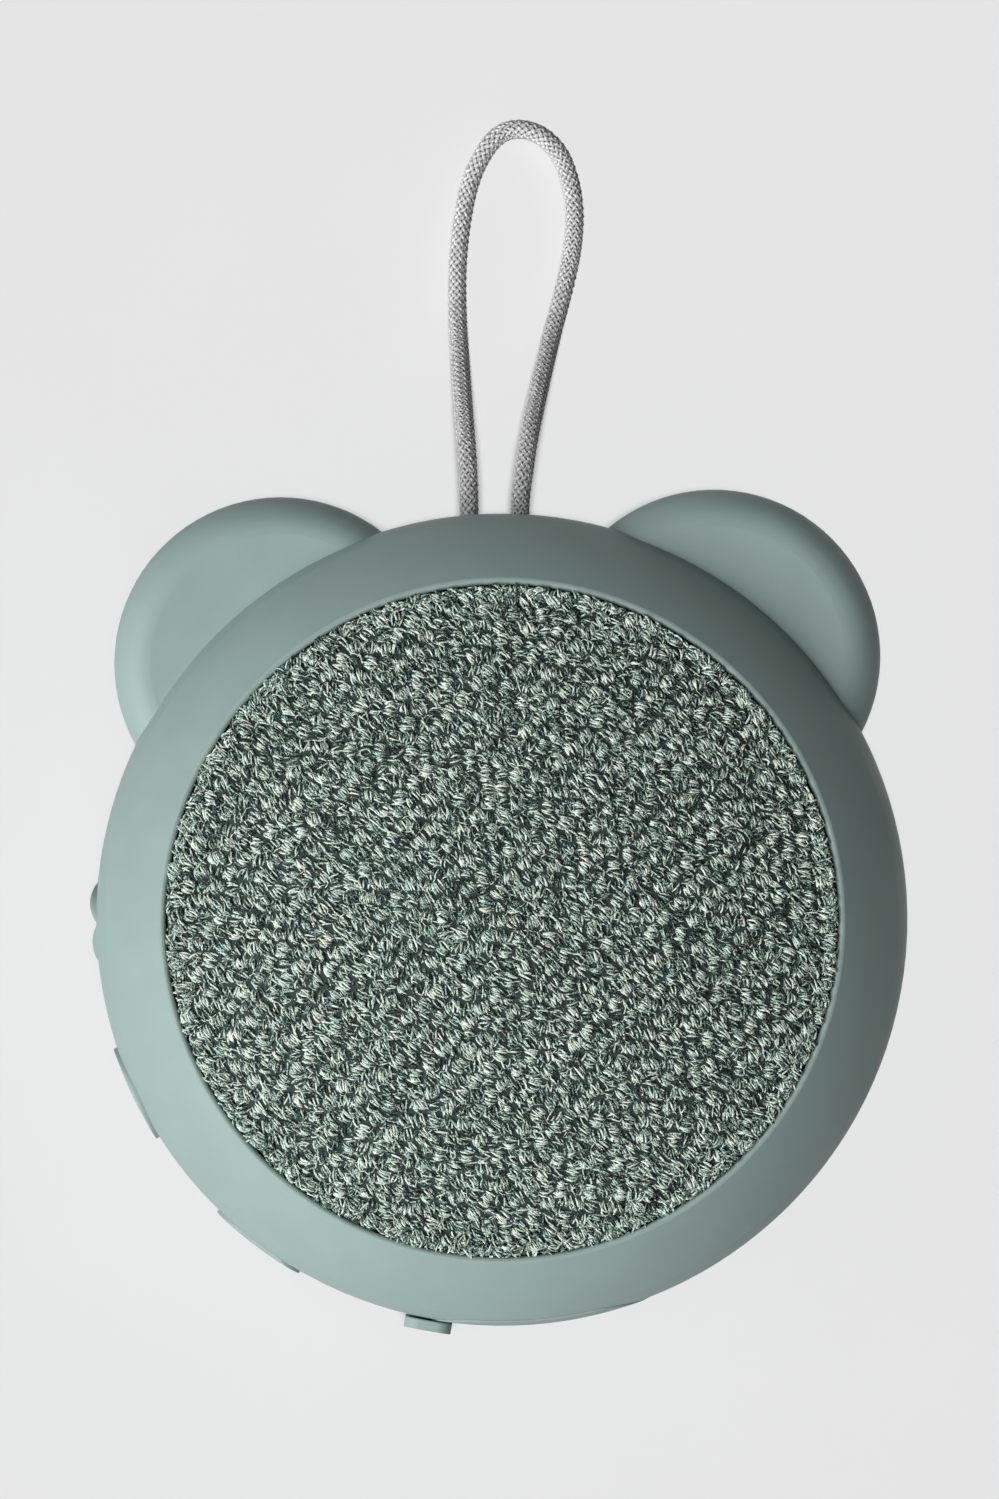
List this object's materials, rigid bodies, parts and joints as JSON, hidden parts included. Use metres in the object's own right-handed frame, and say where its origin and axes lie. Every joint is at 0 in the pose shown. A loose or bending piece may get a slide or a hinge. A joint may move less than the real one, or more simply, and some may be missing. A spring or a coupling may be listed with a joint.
{
  "type": "kids bluetooth speaker",
  "caption": "Small round wireless loudspeaker for children with two round ears, a domed cloth front, rim buttons, a rubber port flap and a braided hanging loop.",
  "frame": {"origin": "middle of the base pad, on the surface that the speaker lies on", "axes": "+Z out of the cloth front; +Y from the centre between the two ears, towards the hanging loop; +X to the right, seen from the front"},
  "size_m": [0.0876, 0.1303, 0.0416],
  "materials": {
    "shell": "fine matt grain",
    "keys": "smooth matt",
    "soft_parts": "matt soft rubber",
    "cloth": "coarse melange weave",
    "cord": "fine round braid",
    "dark_rubber": "matt",
    "pad_rubber": "matt",
    "screw_steel": "zinc plated",
    "plate_steel": "black powder coat",
    "adhesive": "matt film",
    "zinc_steel": "zinc plated",
    "ferrite": "ground ferrite",
    "terminal_brass": "tinned",
    "spider_cloth": "resin-dipped cloth",
    "cone_pulp": "pressed pulp",
    "coil_copper": "enamelled winding",
    "board": "solder mask",
    "port_steel": "stamped, plated",
    "shield_steel": "tinned can",
    "chip_plastic": "moulded epoxy",
    "socket_plastic": "moulded",
    "light_clear": "clear",
    "cell_foil": "laminated foil",
    "red_wire": "soft insulation",
    "black_wire": "soft insulation",
    "bracket_plastic": "glass-filled",
    "flex_film": "polyimide film",
    "switch_steel": "stamped cover"
  },
  "bodies": {
    "housing": {"front_housing": "shell", "rear_cover": "shell", "seal_ring": "dark_rubber", "base_pad": "pad_rubber", "housing_screws": "screw_steel", "grille_fabric": "cloth", "grille_plate": "plate_steel", "grille_ring": "adhesive", "driver_basket": "plate_steel", "driver_gasket": "dark_rubber", "driver_screws": "screw_steel", "driver_terminals": "terminal_brass", "top_plate": "zinc_steel", "magnet": "ferrite", "yoke": "zinc_steel", "spider": "spider_cloth", "surround": "dark_rubber", "main_board": "board", "board_screws": "screw_steel", "usb_port": "port_steel", "audio_jack": "chip_plastic", "wireless_module": "shield_steel", "amplifier_chip": "chip_plastic", "board_parts": "chip_plastic", "speaker_socket": "socket_plastic", "battery_socket": "socket_plastic", "status_led": "light_clear", "light_pipe": "light_clear", "battery_cell": "cell_foil", "battery_pad": "dark_rubber", "battery_lead": "red_wire", "speaker_lead": "black_wire", "switch_bracket": "bracket_plastic", "bracket_screws": "screw_steel", "switch_flex": "flex_film", "tact_switches": "switch_steel", "cord_crimp": "screw_steel", "hanging_cord": "cord"},
    "diaphragm": {"cone": "cone_pulp", "dust_cap": "cone_pulp", "voice_coil": "coil_copper"},
    "rocker": {"volume_rocker": "soft_parts"},
    "play_key": {"play_button": "keys"},
    "mode_key": {"mode_button": "keys"},
    "flap": {"port_flap": "soft_parts"}
  },
  "joints": [
    {"name": "diaphragm_slide", "type": "slide", "parent": "housing", "child": "diaphragm", "axis": [0, 0, 1], "range_m": [-0.0015, 0.0015], "stiffness_N_per_m": 1500, "deforming": ["surround", "spider"]},
    {"name": "volume_rocker_pivot", "type": "hinge", "parent": "housing", "child": "rocker", "pos_m": [-0.04027, 0.00035, 0.0208], "axis": [0, 0, 1], "range_deg": [-3, 3], "stiffness_Nm_per_rad": 0.02},
    {"name": "play_button_press", "type": "slide", "parent": "housing", "child": "play_key", "axis": [0.91, 0.4147, 0], "range_m": [0, 0.0004], "stiffness_N_per_m": 1500},
    {"name": "mode_button_press", "type": "slide", "parent": "housing", "child": "mode_key", "axis": [0.6157, 0.788, 0], "range_m": [0, 0.0004], "stiffness_N_per_m": 1500},
    {"name": "port_flap_hinge", "type": "hinge", "parent": "housing", "child": "flap", "pos_m": [0.01514, -0.04067, 0.0208], "axis": [0, 0, 1], "range_deg": [0, 100]}
  ]
}
